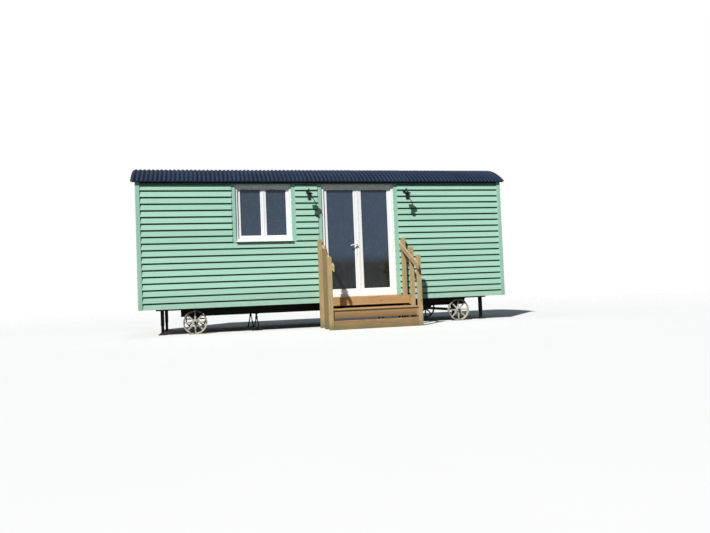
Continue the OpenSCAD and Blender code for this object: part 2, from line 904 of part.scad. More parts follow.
// Square axles with turned ends, on plates that hang from the main beams
module axles() {
    hanger_top = 180;
    hanger_foot = 80;
    axle_top = (wheel_dia + axle_side) / 2;
    color(steel) on_ground() both_ends() translate([axle_in, 0, 0]) {
        translate([-axle_side / 2, -wheel_y + wheel_w / 2, axle_top - axle_side])
            cube([axle_side, 2 * wheel_y - wheel_w, axle_side]);
        both_sides() {
            translate([0, -wheel_y + wheel_w / 2, wheel_dia / 2]) rotate([90, 0, 0])
                cylinder(r = stub_r, h = wheel_w + hub_out);
            translate([0, -main_beam_y + main_beam_w / 2, 0]) rotate([90, 0, 0])
                linear_extrude(main_beam_w) polygon([[-hanger_foot / 2, axle_top],
                    [hanger_foot / 2, axle_top], [hanger_top / 2, beam_foot], [-hanger_top / 2, beam_foot]]);
        }
    }
}

// A cast spoked wheel about the z axis; its outer face is at z = wheel_w
module wheel() {
    rim_t = 14;
    rib = 12;
    hub_r = 46;
    boss_r = 34;
    spokes = 8;
    spoke_t = 14;
    spoke_w = [34, 22];
    rim_r = wheel_dia / 2;
    mid = wheel_w / 2;
    rotate_extrude($fn = 90) polygon([[rim_r - rim_t, 0], [rim_r, 0], [rim_r, wheel_w],
        [rim_r - rim_t, wheel_w], [rim_r - rim_t, mid + rib / 2], [rim_r - rim_t - rib, mid + rib / 3],
        [rim_r - rim_t - rib, mid - rib / 3], [rim_r - rim_t, mid - rib / 2]]);
    rotate_extrude() polygon([[stub_r, 0], [boss_r, 0], [hub_r, mid - rib], [hub_r, mid + rib],
        [boss_r, wheel_w], [stub_r, wheel_w]]);
    for (a = [0 : 360 / spokes : 359]) rotate([0, 0, a])
        translate([0, 0, mid - spoke_t / 2]) linear_extrude(spoke_t)
            polygon([[hub_r - 3, -spoke_w[0] / 2], [rim_r - rim_t - rib + 3, -spoke_w[1] / 2],
                [rim_r - rim_t - rib + 3, spoke_w[1] / 2], [hub_r - 3, spoke_w[0] / 2]]);
}

module wheels() {
    color(rust) on_ground() both_ends() both_sides()
        translate([axle_in, -wheel_y + wheel_w / 2, wheel_dia / 2]) rotate([90, 0, 0]) wheel();
}

// Corner legs: an outer tube, an inner tube that slides in it, and a foot plate
module corner_legs() {
    foot = [140, 140, 10];
    wall = 5;
    inner_w = leg_w - 2 * wall;
    outer_foot = 170;
    color(steel) on_ground() both_ends() both_sides()
        translate([leg_in, -main_beam_y, 0]) {
            translate([-foot[0] / 2, -foot[1] / 2, 0]) cube(foot);
            translate([-inner_w / 2, -inner_w / 2, 0]) cube([inner_w, inner_w, ground_gap - runner_h]);
            translate([-leg_w / 2, -leg_w / 2, outer_foot])
                cube([leg_w, leg_w, ground_gap - runner_h - outer_foot]);
        }
}

// Stands under the main beams: a foot plate, four sloping legs, and a head on a screw
module axle_stands() {
    stand_in = 2050;
    plate = 200;
    plate_h = 6;
    spread = 80;
    leg_r = 9;
    screw_r = 16;
    head_r = 30;
    head_t = 10;
    collar_r = 24;
    collar_h = 45;
    apex_z = beam_foot - 60;
    top = beam_foot - apex_z + 40;
    slope = atan(spread / apex_z);
    color(steel) on_ground() both_ends() both_sides() translate([stand_in, -main_beam_y, 0]) {
        translate([-plate / 2, -plate / 2, 0]) cube([plate, plate, plate_h]);
        translate([0, 0, apex_z - 40]) rotate_extrude() polygon([[0, 0], [collar_r, 0],
            [collar_r, collar_h], [screw_r, collar_h + 5], [screw_r, top - head_t],
            [head_r, top - head_t], [head_r, top], [0, top]]);
        for (a = [45 : 90 : 315]) rotate([0, 0, a]) translate([spread, 0, plate_h / 2])
            rotate([0, -slope, 0]) cylinder(r = leg_r, h = (apex_z - plate_h) / cos(slope));
    }
}

floor();
front_wall_left();
front_wall_right();
front_wall_over_door();
door_sill_beam();
back_wall();
left_end_wall();
right_end_wall();
corner_trims();
opening_trims();
gable_trims();
eave_boards();
roof_deck();
roof_sheet(0);  // roof_sheet_1
roof_sheet(1);  // roof_sheet_2
roof_sheet(2);  // roof_sheet_3
roof_sheet(3);  // roof_sheet_4
roof_sheet(4);  // roof_sheet_5
roof_sheet(5);  // roof_sheet_6
roof_sheet(6);  // roof_sheet_7
window_frame();
window_sashes();
window_glass();
door_frame();
left_door();
left_door_glass();
right_door();
right_door_glass();
door_handle();
left_door_hinges();
right_door_hinges();
hinge_pins();
wall_lamps();
lamp_glass();
step_posts();
handrails();
landing();
lower_step();
step_sides();
chassis_beams();
cross_members();
axles();
wheels();
corner_legs();
axle_stands();
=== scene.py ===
"""Looks of a shepherds hut: painted boards, a corrugated roof, white frames, timber steps and cast wheels.

Metres, in the frame's own axes: X along the front, the front faces -Y, Z = 0 is the ground.
"""
import math
import random

import bmesh
import bpy
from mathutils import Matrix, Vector
from mathutils.bvhtree import BVHTree


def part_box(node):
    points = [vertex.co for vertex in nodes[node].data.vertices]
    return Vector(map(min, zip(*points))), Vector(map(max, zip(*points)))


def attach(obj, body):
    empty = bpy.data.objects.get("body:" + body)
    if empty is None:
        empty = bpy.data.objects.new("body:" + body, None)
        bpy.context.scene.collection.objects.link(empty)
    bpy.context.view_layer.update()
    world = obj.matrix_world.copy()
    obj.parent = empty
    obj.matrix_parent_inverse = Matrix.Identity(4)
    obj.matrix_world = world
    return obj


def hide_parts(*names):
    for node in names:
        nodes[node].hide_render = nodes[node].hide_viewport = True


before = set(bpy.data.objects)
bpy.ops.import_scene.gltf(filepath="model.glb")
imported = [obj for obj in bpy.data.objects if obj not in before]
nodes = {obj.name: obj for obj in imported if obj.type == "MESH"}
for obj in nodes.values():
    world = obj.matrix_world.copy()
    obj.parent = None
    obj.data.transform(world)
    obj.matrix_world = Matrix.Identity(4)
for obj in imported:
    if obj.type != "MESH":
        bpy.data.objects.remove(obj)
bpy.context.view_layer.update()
random.seed(7)


# Sizes that the frame doesn't give

corner_proud = 0.002
board_pitch = 0.1165
roof_rise = 0.383
eave_out = 0.045
deck_t = 0.020
roof_sheets = 7
corr_pitch = 0.0762
window_trim_lap = 0.010
step_board_t = 0.028
lower_tread_t = 0.028
handle_plate_w = 0.030
lock_r = 0.0095
tolerance = 0.001


# Places that come from the frame

corner_low, corner_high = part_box("corner_trims")
left_x = corner_low.x + corner_proud
right_x = corner_high.x - corner_proud
lip_y = corner_low.y + corner_proud
back_y = corner_high.y - corner_proud
mid_y = (lip_y + back_y) / 2
foot_z = corner_low.z
clad_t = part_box("front_wall_left")[0].y - lip_y
# A corner trim reaches this far from the ends of the lips, and the gable trims start there
trim_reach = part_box("gable_trims")[0].y - lip_y
window_low, window_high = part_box("window_frame")
door_low, door_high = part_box("door_frame")
eave_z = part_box("eave_boards")[0].z
deck_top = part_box("roof_deck")[1].z

# The upper face of the deck is an arc: its radius comes from its half width and its rise
arc_half = (back_y - lip_y) / 2 + eave_out
roof_r = (arc_half ** 2 + roof_rise ** 2) / (2 * roof_rise)
roof_z = deck_top - roof_r
eave_angle = math.asin(arc_half / roof_r)


# Camera and light

def add_camera():
    """The photo's viewpoint, fitted to the hut's edges and board lines."""
    data = bpy.data.cameras.new("camera")
    data.sensor_width = 36
    data.lens = 32.96
    data.clip_end = 200
    camera = bpy.data.objects.new("camera", data)
    camera.location = (-2.3934, -12.4179, 0.6749)
    camera.rotation_euler = [math.radians(a) for a in (92.0564, 2.2700, -13.3591)]
    bpy.context.collection.objects.link(camera)
    bpy.context.scene.camera = camera


def add_sun():
    """Sunlight from high at the front left."""
    travel = Vector((0.80, 1.0, -1.25))
    data = bpy.data.lights.new("sun", "SUN")
    data.energy = 4.35
    data.color = (1.0, 0.99, 0.975)
    data.angle = math.radians(1.5)
    sun = bpy.data.objects.new("sun", data)
    sun.rotation_euler = travel.to_track_quat("-Z", "Y").to_euler()
    bpy.context.collection.objects.link(sun)


def background(tree, colour, strength):
    made = tree.nodes.new("ShaderNodeBackground")
    made.inputs["Color"].default_value = colour
    made.inputs["Strength"].default_value = strength
    return made.outputs[0]


def shader_mix(tree, share, first, second):
    made = tree.nodes.new("ShaderNodeMixShader")
    for socket, value in zip(made.inputs, (share, first, second)):
        tree.links.new(value, socket)
    return made.outputs[0]


def add_world():
    """White to the camera and through glass, a cool sky in reflections, and a faint cool fill."""
    world = bpy.data.worlds.new("studio")
    bpy.context.scene.world = world
    world.use_nodes = True
    tree = world.node_tree
    tree.nodes.clear()
    path = tree.nodes.new("ShaderNodeLightPath")
    seen = tree.nodes.new("ShaderNodeMath")
    seen.operation = "MAXIMUM"
    tree.links.new(path.outputs["Is Camera Ray"], seen.inputs[0])
    tree.links.new(path.outputs["Is Transmission Ray"], seen.inputs[1])
    ambient = background(tree, (0.72, 0.88, 1.0, 1), 0.15)
    mirrored = background(tree, (0.80, 0.90, 1.0, 1), 0.5)
    white = background(tree, (1, 1, 1, 1), 1.0)
    unseen = shader_mix(tree, path.outputs["Is Glossy Ray"], ambient, mirrored)
    out = tree.nodes.new("ShaderNodeOutputWorld")
    tree.links.new(shader_mix(tree, seen.outputs[0], unseen, white), out.inputs[0])


# Materials

def srgb(red, green, blue):
    """A colour as it is seen on a screen, 0 to 255, in linear values."""
    def linear(value):
        share = value / 255
        return share / 12.92 if share <= 0.04045 else ((share + 0.055) / 1.055) ** 2.4
    return (linear(red), linear(green), linear(blue), 1)


# Colour sockets of the Mix node
MIX_FIRST = 6
MIX_SECOND = 7
MIX_OUT = 2


class Surface:
    """A material with short calls for the nodes that are used here."""

    def __init__(self, name, **values):
        self.material = bpy.data.materials.new(name)
        self.material.use_nodes = True
        self.tree = self.material.node_tree
        self.shader = self.tree.nodes["Principled BSDF"]
        self.set(**values)
        self.place = self.node("ShaderNodeTexCoord").outputs["Object"]

    def set(self, **values):
        for key, value in values.items():
            self.shader.inputs[key.replace("_", " ")].default_value = value

    def node(self, kind, **values):
        made = self.tree.nodes.new(kind)
        for key, value in values.items():
            setattr(made, key, value)
        return made

    def feed(self, socket, value):
        if isinstance(value, bpy.types.NodeSocket):
            self.tree.links.new(value, socket)
        else:
            socket.default_value = value

    def stretched(self, scale, place=None):
        made = self.node("ShaderNodeMapping")
        self.feed(made.inputs["Vector"], place or self.place)
        made.inputs["Scale"].default_value = scale
        return made.outputs["Vector"]

    def noise(self, scale, detail=3.0, roughness=0.5, place=None, distortion=0.0):
        made = self.node("ShaderNodeTexNoise")
        self.feed(made.inputs["Vector"], place or self.place)
        made.inputs["Scale"].default_value = scale
        made.inputs["Detail"].default_value = detail
        made.inputs["Roughness"].default_value = roughness
        made.inputs["Distortion"].default_value = distortion
        return made.outputs["Fac"]

    def attribute(self, name):
        return self.node("ShaderNodeAttribute", attribute_name=name).outputs["Fac"]

    def math(self, operation, first, second=0.0, clamp=False):
        made = self.node("ShaderNodeMath", operation=operation, use_clamp=clamp)
        self.feed(made.inputs[0], first)
        self.feed(made.inputs[1], second)
        return made.outputs[0]

    def span(self, value, low, high, to_low=0.0, to_high=1.0):
        """value from low to high becomes to_low to to_high, and stays within them."""
        made = self.node("ShaderNodeMapRange", clamp=True)
        self.feed(made.inputs["Value"], value)
        for key, number in (("From Min", low), ("From Max", high), ("To Min", to_low), ("To Max", to_high)):
            made.inputs[key].default_value = number
        return made.outputs["Result"]

    def mix(self, share, first, second):
        made = self.node("ShaderNodeMix", data_type="RGBA")
        self.feed(made.inputs[0], share)
        self.feed(made.inputs[MIX_FIRST], first)
        self.feed(made.inputs[MIX_SECOND], second)
        return made.outputs[MIX_OUT]

    def vector(self, operation, first, second):
        made = self.node("ShaderNodeVectorMath", operation=operation)
        self.feed(made.inputs[0], first)
        self.feed(made.inputs[1], second)
        return made.outputs["Vector"]

    def length(self, vector):
        made = self.node("ShaderNodeVectorMath", operation="LENGTH")
        self.feed(made.inputs[0], vector)
        return made.outputs["Value"]

    def cells(self, scale, place=None):
        made = self.node("ShaderNodeTexVoronoi")
        self.feed(made.inputs["Vector"], place or self.place)
        made.inputs["Scale"].default_value = scale
        return made.outputs["Distance"]

    def axis(self, letter):
        made = self.node("ShaderNodeSeparateXYZ")
        self.feed(made.inputs[0], self.place)
        return made.outputs[letter]

    def joints(self, letter):
        """Rises to 1 in the V joints between boards, which come every 100 mm along an axis."""
        step = self.math("FRACT", self.math("MULTIPLY", self.axis(letter), 10.0))
        return self.span(self.math("ABSOLUTE", self.math("SUBTRACT", step, 0.5)), 0.44, 0.5)

    def colour(self, value):
        self.feed(self.shader.inputs["Base Color"], value)

    def rough(self, value):
        self.feed(self.shader.inputs["Roughness"], value)

    def bump(self, height, distance, strength):
        made = self.node("ShaderNodeBump")
        made.inputs["Strength"].default_value = strength
        made.inputs["Distance"].default_value = distance
        self.feed(made.inputs["Height"], height)
        self.feed(self.shader.inputs["Normal"], made.outputs["Normal"])


splash_height = 0.33
# Shares of a board's height where the painted shade under the next board's lip starts and is full
lip_shade_starts = 0.72
lip_shade_full = 0.78


def painted_boards(name, light, dark, grain=(1.5, 1.5, 60), lipped=False):
    """Satin paint on planed boards: each has its own tone, faint brush marks, and dirt near the foot.

    Lipped boards also get painted shade under the lip of the board above.
    """
    s = Surface(name, Specular_IOR_Level=0.14)
    tone = s.attribute("tone")
    faded = s.noise(0.9, 4, 0.6)
    share = s.math("ADD", s.math("MULTIPLY", tone, 0.6), s.math("MULTIPLY", faded, 0.5), clamp=True)
    paint = s.mix(share, light, dark)
    brush = s.noise(7, 4, 0.6, s.stretched(grain))
    paint = s.mix(s.span(brush, 0.45, 0.75, 0, 0.10), paint, srgb(205, 232, 219))
    streak = s.noise(3.5, 5, 0.65, s.stretched((9, 9, 0.8)))
    paint = s.mix(s.span(streak, 0.56, 0.80, 0, 0.16), paint, srgb(128, 150, 128))
    height = s.axis("Z")
    low_down = s.span(height, foot_z, foot_z + splash_height, 0.42, 0)
    splash = s.math("MULTIPLY", low_down, s.noise(14, 5, 0.7))
    paint = s.mix(splash, paint, srgb(122, 118, 92))
    if lipped:
        rise = s.math("DIVIDE", s.math("SUBTRACT", height, foot_z), board_pitch)
        # painted shade: a dark green band under the lip of the board above
        lip_shade = s.span(s.math("FRACT", rise), lip_shade_starts, lip_shade_full, 0, 0.88)
        paint = s.mix(lip_shade, paint, srgb(22, 98, 68))
    s.colour(paint)
    s.rough(s.span(faded, 0.3, 0.7, 0.42, 0.58))
    s.bump(s.math("ADD", brush, s.math("MULTIPLY", s.noise(160, 2), 0.25)), 0.0007, 0.6)
    return s.material


# Heights above the eave board's foot where its painted shade starts and is near-black
eave_shade_starts = 0.002
eave_shade_full = 0.018


def eave_paint_and_shade():
    """Paint of the boards under the eaves as painted shade: darker than the boards' paint, and near-black
    at the top under the sheets.
    """
    s = Surface("eave_paint_and_shade", Specular_IOR_Level=0.1)
    film = s.noise(8, 4, 0.6)
    # painted shade: a darker copy of the boards' mint
    paint = s.mix(film, srgb(144, 186, 166), srgb(126, 168, 148))
    eave_shade = s.span(s.axis("Z"), eave_z + eave_shade_starts, eave_z + eave_shade_full, 0, 0.94)
    s.colour(s.mix(eave_shade, paint, srgb(22, 34, 34)))
    s.rough(s.span(film, 0.3, 0.7, 0.5, 0.65))
    s.bump(film, 0.0004, 0.5)
    return s.material


X, Y, Z = range(3)
board_shift = 3.7
growth_lines = 7.0


def grain_scale(across, along, axis):
    """Scale of a pattern that is drawn out along one axis."""
    scale = [across] * 3
    scale[axis] = along
    return scale


def sawn_timber(name, axis, light, dark, brown=srgb(150, 118, 78), lean=0.0):
    """Sawn softwood with growth lines along one axis, which may lean about X, knots and weathering."""
    s = Surface(name, Specular_IOR_Level=0.2)
    tone = s.attribute("tone")
    turned = s.node("ShaderNodeMapping")
    s.feed(turned.inputs["Vector"], s.place)
    turned.inputs["Rotation"].default_value = (lean, 0, 0)
    offset = s.node("ShaderNodeCombineXYZ")
    for letter in "XYZ":
        s.feed(offset.inputs[letter], s.math("MULTIPLY", tone, board_shift))
    place = s.vector("ADD", turned.outputs["Vector"], offset.outputs[0])
    rings = s.noise(1.0, 3, 0.55, s.stretched(grain_scale(14.0, 0.7, axis), place), 1.2)
    bands = s.math("FRACT", s.math("MULTIPLY", rings, growth_lines))
    lines = s.span(bands, 0.15, 0.95)
    fibres = s.noise(1.0, 4, 0.7, s.stretched(grain_scale(55.0, 1.6, axis), place))
    colour = s.mix(s.math("MULTIPLY", lines, 0.55), light, dark)
    colour = s.mix(s.span(fibres, 0.35, 0.75, 0, 0.45), colour, dark)
    knots = s.cells(1.0, s.stretched(grain_scale(7.0, 3.0, axis), place))
    colour = s.mix(s.span(knots, 0.05, 0.14, 0.75, 0), colour, srgb(104, 66, 38))
    weather = s.noise(3.2, 4, 0.6)
    colour = s.mix(s.span(weather, 0.45, 0.75, 0, 0.35), colour, srgb(168, 156, 128))
    colour = s.mix(s.math("MULTIPLY", tone, 0.6), colour, brown)
    from_ground = s.span(s.axis("Z"), 0.03, 0.15, 0.8, 0)
    stain = s.math("MULTIPLY", from_ground, s.span(weather, 0.3, 0.6, 0.4, 1))
    colour = s.mix(stain, colour, srgb(122, 120, 84))
    s.colour(colour)
    s.rough(s.span(fibres, 0.3, 0.7, 0.62, 0.82))
    s.bump(s.math("ADD", fibres, s.math("MULTIPLY", lines, 0.4)), 0.0012, 0.7)
    return s.material


def white_plastic():
    s = Surface("white_plastic", Specular_IOR_Level=0.5, Coat_Weight=0.15, Coat_Roughness=0.2)
    film = s.noise(5, 5, 0.65)
    runs = s.noise(6, 4, 0.6, s.stretched((10, 10, 0.7)))
    paint = s.mix(s.span(film, 0.4, 0.8, 0, 0.25), srgb(252, 253, 254), srgb(240, 243, 244))
    paint = s.mix(s.span(runs, 0.58, 0.85, 0, 0.30), paint, srgb(196, 199, 192))
    s.colour(paint)
    s.rough(s.span(film, 0.3, 0.7, 0.22, 0.36))
    s.bump(s.noise(240, 2), 0.0002, 0.35)
    return s.material


# Heights above the deck arc over which the painted shade in the valleys fades out
valley_floor = 0.003
valley_side = 0.016


def roof_steel():
    """Dark blue coated steel with painted shade in its valleys, and faint water runs down the curve."""
    s = Surface("roof_steel", Specular_IOR_Level=0.03)
    dull = s.noise(1.6, 5, 0.62)
    runs = s.noise(4, 5, 0.62, s.stretched((14, 1.0, 1.0)))
    paint = s.mix(s.span(dull, 0.35, 0.7), srgb(41, 53, 74), srgb(53, 65, 87))
    paint = s.mix(s.span(runs, 0.55, 0.82, 0, 0.18), paint, srgb(84, 94, 110))
    specks = s.noise(60, 3, 0.7)
    paint = s.mix(s.span(specks, 0.64, 0.74, 0, 0.35), paint, srgb(74, 82, 96))
    away = s.vector("SUBTRACT", s.place, (0, mid_y, roof_z))
    radius = s.length(s.vector("MULTIPLY", away, (0, 1, 1)))
    # painted shade: the valleys of the corrugations darkened towards navy-black
    valley_shade = s.span(radius, roof_r + valley_floor, roof_r + valley_side, 0.95, 0)
    paint = s.mix(valley_shade, paint, srgb(10, 17, 32))
    s.colour(paint)
    s.rough(s.span(runs, 0.3, 0.75, 0.42, 0.62))
    s.bump(s.math("ADD", specks, s.math("MULTIPLY", dull, 0.4)), 0.0003, 0.5)
    return s.material


def sheet_back():
    """The grey coat on the underside of the roof sheets."""
    s = Surface("sheet_back", Specular_IOR_Level=0.3)
    dull = s.noise(5, 4, 0.6)
    s.colour(s.mix(s.span(dull, 0.3, 0.7), srgb(176, 180, 184), srgb(150, 154, 158)))
    s.rough(s.span(dull, 0.3, 0.7, 0.45, 0.6))
    s.bump(s.noise(90, 3), 0.0003, 0.4)
    return s.material


# Heights over which the painted reflection turns from dark ground to sky
ground_reflection_below = 0.80
sky_reflection_above = 1.02


def window_pane():
    """A sealed unit painted with reflections: the sky's blue above, dark ground nearly black towards its
    foot, and patchy clouds, with a thin film of dust.
    """
    s = Surface("window_pane", Specular_IOR_Level=0.95, Alpha=0.86, IOR=1.5)
    # painted reflection: dark ground below a wavy horizon, sky blue above it
    height = s.math("ADD", s.axis("Z"), s.math("MULTIPLY", s.noise(2.2, 4, 0.6), 0.25))
    sky_reflection_share = s.span(height, foot_z + ground_reflection_below, foot_z + sky_reflection_above)
    reflection_and_dust = s.mix(sky_reflection_share, srgb(28, 29, 23), srgb(60, 77, 99))
    # painted reflection of clouds
    cloud = s.noise(1.3, 3, 0.5)
    reflection_and_dust = s.mix(s.span(cloud, 0.4, 0.7, 0, 0.4), reflection_and_dust, srgb(62, 72, 84))
    film = s.noise(9, 5, 0.7, s.stretched((3, 3, 1)))
    reflection_and_dust = s.mix(s.span(film, 0.5, 0.8, 0, 0.14), reflection_and_dust, srgb(150, 156, 150))
    s.colour(reflection_and_dust)
    s.rough(s.span(film, 0.4, 0.8, 0.03, 0.12))
    s.bump(s.noise(1.1, 1), 0.002, 0.12)
    return s.material


def black_iron():
    s = Surface("black_iron", Specular_IOR_Level=0.5)
    worn = s.noise(45, 4, 0.6)
    s.colour(s.mix(s.span(worn, 0.45, 0.75), srgb(20, 20, 22), srgb(44, 44, 46)))
    s.rough(s.span(worn, 0.3, 0.7, 0.32, 0.5))
    s.bump(worn, 0.0004, 0.6)
    return s.material


def lamp_pane():
    """Smoked lamp glass."""
    s = Surface("lamp_pane", Alpha=0.94, Specular_IOR_Level=0.5)
    seeds = s.noise(70, 2, 0.5)
    s.colour(s.mix(s.span(seeds, 0.4, 0.7), srgb(46, 49, 51), srgb(30, 32, 34)))
    s.rough(s.span(seeds, 0.4, 0.7, 0.05, 0.22))
    return s.material


def bulb_glass():
    s = Surface("bulb_glass", Specular_IOR_Level=0.5)
    frost = s.noise(220, 3, 0.6)
    s.colour(s.mix(s.span(frost, 0.4, 0.7), srgb(214, 210, 198), srgb(192, 188, 176)))
    s.rough(s.span(frost, 0.3, 0.7, 0.3, 0.45))
    return s.material


def zinc():
    s = Surface("zinc", Metallic=0.7)
    s.colour(s.mix(s.cells(260.0), srgb(168, 170, 170), srgb(126, 128, 128)))
    s.rough(s.span(s.noise(60), 0.3, 0.7, 0.4, 0.6))
    return s.material


def wheel_iron():
    """Cast wheels in old pale paint, worn through to rust in patches."""
    s = Surface("wheel_iron", Specular_IOR_Level=0.3)
    patches = s.noise(9, 6, 0.65)
    crumbs = s.noise(70, 4, 0.7)
    rust = s.mix(s.span(crumbs, 0.35, 0.7), srgb(70, 42, 28), srgb(122, 72, 42))
    paint = s.mix(s.span(crumbs, 0.3, 0.7), srgb(206, 201, 188), srgb(172, 166, 152))
    s.colour(s.mix(s.span(patches, 0.54, 0.62), paint, rust))
    s.rough(s.span(patches, 0.5, 0.62, 0.5, 0.9))
    s.bump(s.math("ADD", crumbs, patches), 0.0012, 0.7)
    return s.material


def dark_steel():
    """Black chassis paint, dusty in patches and rusting in spots."""
    s = Surface("dark_steel", Specular_IOR_Level=0.35)
    dust = s.noise(6, 5, 0.6)
    spots = s.noise(26, 5, 0.7)
    paint = s.mix(s.span(dust, 0.4, 0.75, 0, 0.5), srgb(30, 30, 31), srgb(74, 70, 62))
    s.colour(s.mix(s.span(spots, 0.60, 0.68, 0, 0.8), paint, srgb(96, 58, 36)))
    s.rough(s.span(dust, 0.3, 0.7, 0.5, 0.75))
    s.bump(spots, 0.0006, 0.5)
    return s.material


def lining():
    """Painted tongued boards inside."""
    s = Surface("lining", Specular_IOR_Level=0.3)
    groove = s.joints("Z")
    soft = s.noise(3, 3, 0.5)
    paint = s.mix(s.span(soft, 0.3, 0.7), srgb(236, 231, 219), srgb(224, 218, 204))
    s.colour(s.mix(s.math("MULTIPLY", groove, 0.5), paint, srgb(150, 142, 126)))
    s.rough(s.span(soft, 0.3, 0.7, 0.5, 0.62))
    s.bump(s.math("MULTIPLY", groove, -1.0), 0.003, 0.8)
    return s.material


def ceiling_boards():
    """Tongued boards, bare over the room and near-black where they pass the walls."""
    s = Surface("ceiling_boards", Specular_IOR_Level=0.3)
    groove = s.joints("Y")
    grain = s.noise(1, 4, 0.6, s.stretched((1.5, 40, 40)))
    wood = s.mix(s.span(grain, 0.3, 0.7), srgb(214, 186, 140), srgb(186, 152, 106))
    wood = s.mix(s.math("MULTIPLY", groove, 0.6), wood, srgb(96, 74, 50))
    past_end = s.math("GREATER_THAN", s.math("ABSOLUTE", s.axis("X")), right_x - clad_t)
    from_middle = s.math("ABSOLUTE", s.math("SUBTRACT", s.axis("Y"), mid_y))
    past_eave = s.math("GREATER_THAN", from_middle, mid_y - lip_y - clad_t)
    # near-black outside the walls
    s.colour(s.mix(s.math("MAXIMUM", past_end, past_eave), wood, srgb(24, 30, 34)))
    s.rough(s.span(grain, 0.3, 0.7, 0.5, 0.65))
    s.bump(s.math("MULTIPLY", groove, -1.0), 0.003, 0.8)
    return s.material


def black_rubber():
    s = Surface("black_rubber", Specular_IOR_Level=0.25)
    chalk = s.noise(40, 3, 0.6)
    s.colour(s.mix(s.span(chalk, 0.4, 0.8), srgb(40, 41, 43), srgb(72, 73, 74)))
    s.rough(s.span(chalk, 0.3, 0.7, 0.6, 0.8))
    return s.material


MINT_LIGHT = srgb(173, 216, 196)
MINT_DARK = srgb(158, 202, 181)
RAIL_LEAN = math.atan(0.45)
UPRIGHT = (60, 60, 1.5)
materials = {
    "boards": painted_boards("board_paint", MINT_LIGHT, MINT_DARK, lipped=True),
    "eave": eave_paint_and_shade(),
    "trims": painted_boards("trim_paint", srgb(168, 211, 190), srgb(154, 198, 176), UPRIGHT),
    "posts": sawn_timber("post_timber", Z, srgb(208, 186, 140), srgb(164, 136, 92), srgb(98, 70, 42)),
    "treads": sawn_timber("tread_timber", X, srgb(210, 174, 126), srgb(156, 112, 70), srgb(92, 48, 24)),
    "rails": sawn_timber("rail_timber", Y, srgb(216, 194, 150), srgb(178, 146, 100), lean=RAIL_LEAN),
    "bearers": sawn_timber("bearer_timber", Y, srgb(206, 176, 126), srgb(164, 130, 84)),
    "floor": sawn_timber("floor_timber", X, srgb(206, 172, 122), srgb(160, 120, 76)),
    "plastic": white_plastic(),
    "roof": roof_steel(),
    "sheet_back": sheet_back(),
    "pane": window_pane(),
    "iron": black_iron(),
    "lamp": lamp_pane(),
    "bulb": bulb_glass(),
    "zinc": zinc(),
    "wheel": wheel_iron(),
    "steel": dark_steel(),
    "lining": lining(),
    "ceiling": ceiling_boards(),
    "rubber": black_rubber(),
}


# Making and finishing pieces

class Pile:
    """Gathers closed shapes into one mesh, each with a tone of its own."""

    def __init__(self):
        self.verts = []
        self.faces = []
        self.tones = []

    def add(self, verts, faces, tone=None):
        start = len(self.verts)
        tone = random.random() if tone is None else tone
        self.verts.extend(verts)
        self.faces.extend([[start + i for i in face] for face in faces])
        self.tones.extend([tone] * len(verts))

    def loft(self, rings, tone=None):
        """A closed shape through rings of equally many points."""
        count = len(rings[0])
        faces = [list(range(count))[::-1]]
        for k in range(len(rings) - 1):
            for i in range(count):
                j = (i + 1) % count
                a = k * count
                faces.append([a + i, a + j, a + count + j, a + count + i])
        last = (len(rings) - 1) * count
        faces.append([last + i for i in range(count)])
        self.add([point for ring in rings for point in ring], faces, tone)

    def block(self, low, high, tone=None):
        corners = ((low.x, low.y), (high.x, low.y), (high.x, high.y), (low.x, high.y))
        self.loft([[Vector((x, y, z)) for x, y in corners] for z in (low.z, high.z)], tone)

    def turned(self, centre, axis, profile, sides, tone=None):
        """Rings about an axis; the profile gives radius and distance along it."""
        turn = Vector(axis).to_track_quat("Z", "Y").to_matrix()
        angles = [2 * math.pi * i / sides for i in range(sides)]
        rings = []
        for radius, along in profile:
            rings.append([centre + turn @ Vector((radius * math.cos(a), radius * math.sin(a), along))
                          for a in angles])
        self.loft(rings, tone)

    def made(self, name, material, body, slot, bevel=0.0, smooth_angle=None):
        mesh = bpy.data.meshes.new(name)
        mesh.from_pydata([tuple(v) for v in self.verts], [], self.faces)
        tones = mesh.attributes.new("tone", "FLOAT", "POINT")
        tones.data.foreach_set("value", self.tones)
        work = bmesh.new()
        work.from_mesh(mesh)
        bmesh.ops.recalc_face_normals(work, faces=work.faces)
        if bevel:
            bevel_edges(work, bevel)
        work.to_mesh(mesh)
        work.free()
        return finished(name, mesh, material, body, smooth_angle)


bevel_over = math.radians(25.0)


def bevel_edges(work, width):
    """Rounds the edges between two faces that meet at more than a slight angle."""
    sharp = [e for e in work.edges if len(e.link_faces) == 2 and e.calc_face_angle(0) > bevel_over]
    bmesh.ops.bevel(work, geom=sharp, offset=width, offset_type="OFFSET", segments=2, profile=0.5,
                    affect="EDGES", clamp_overlap=True)


def smooth(mesh, angle):
    """Shades a mesh smooth, apart from edges sharper than an angle in degrees; None leaves it as it is."""
    if angle is not None:
        mesh.polygons.foreach_set("use_smooth", [True] * len(mesh.polygons))
        mesh.set_sharp_from_angle(angle=math.radians(angle))


def finished(name, mesh, material, body, smooth_angle=None):
    mesh.materials.append(materials[material])
    smooth(mesh, smooth_angle)
    piece = bpy.data.objects.new(name, mesh)
    bpy.context.collection.objects.link(piece)
    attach(piece, body)
    return piece


def islands(work):
    """Lists the separate shapes of a mesh, each as its vertices."""
    left = set(work.verts)
    found = []
    for start in work.verts:
        if start not in left:
            continue
        left.discard(start)
        group = [start]
        for vert in group:
            for edge in vert.link_edges:
                other = edge.other_vert(vert)
                if other in left:
                    left.discard(other)
                    group.append(other)
        found.append(group)
    return found


same_point = 1e-5
flat_under = math.radians(0.5)


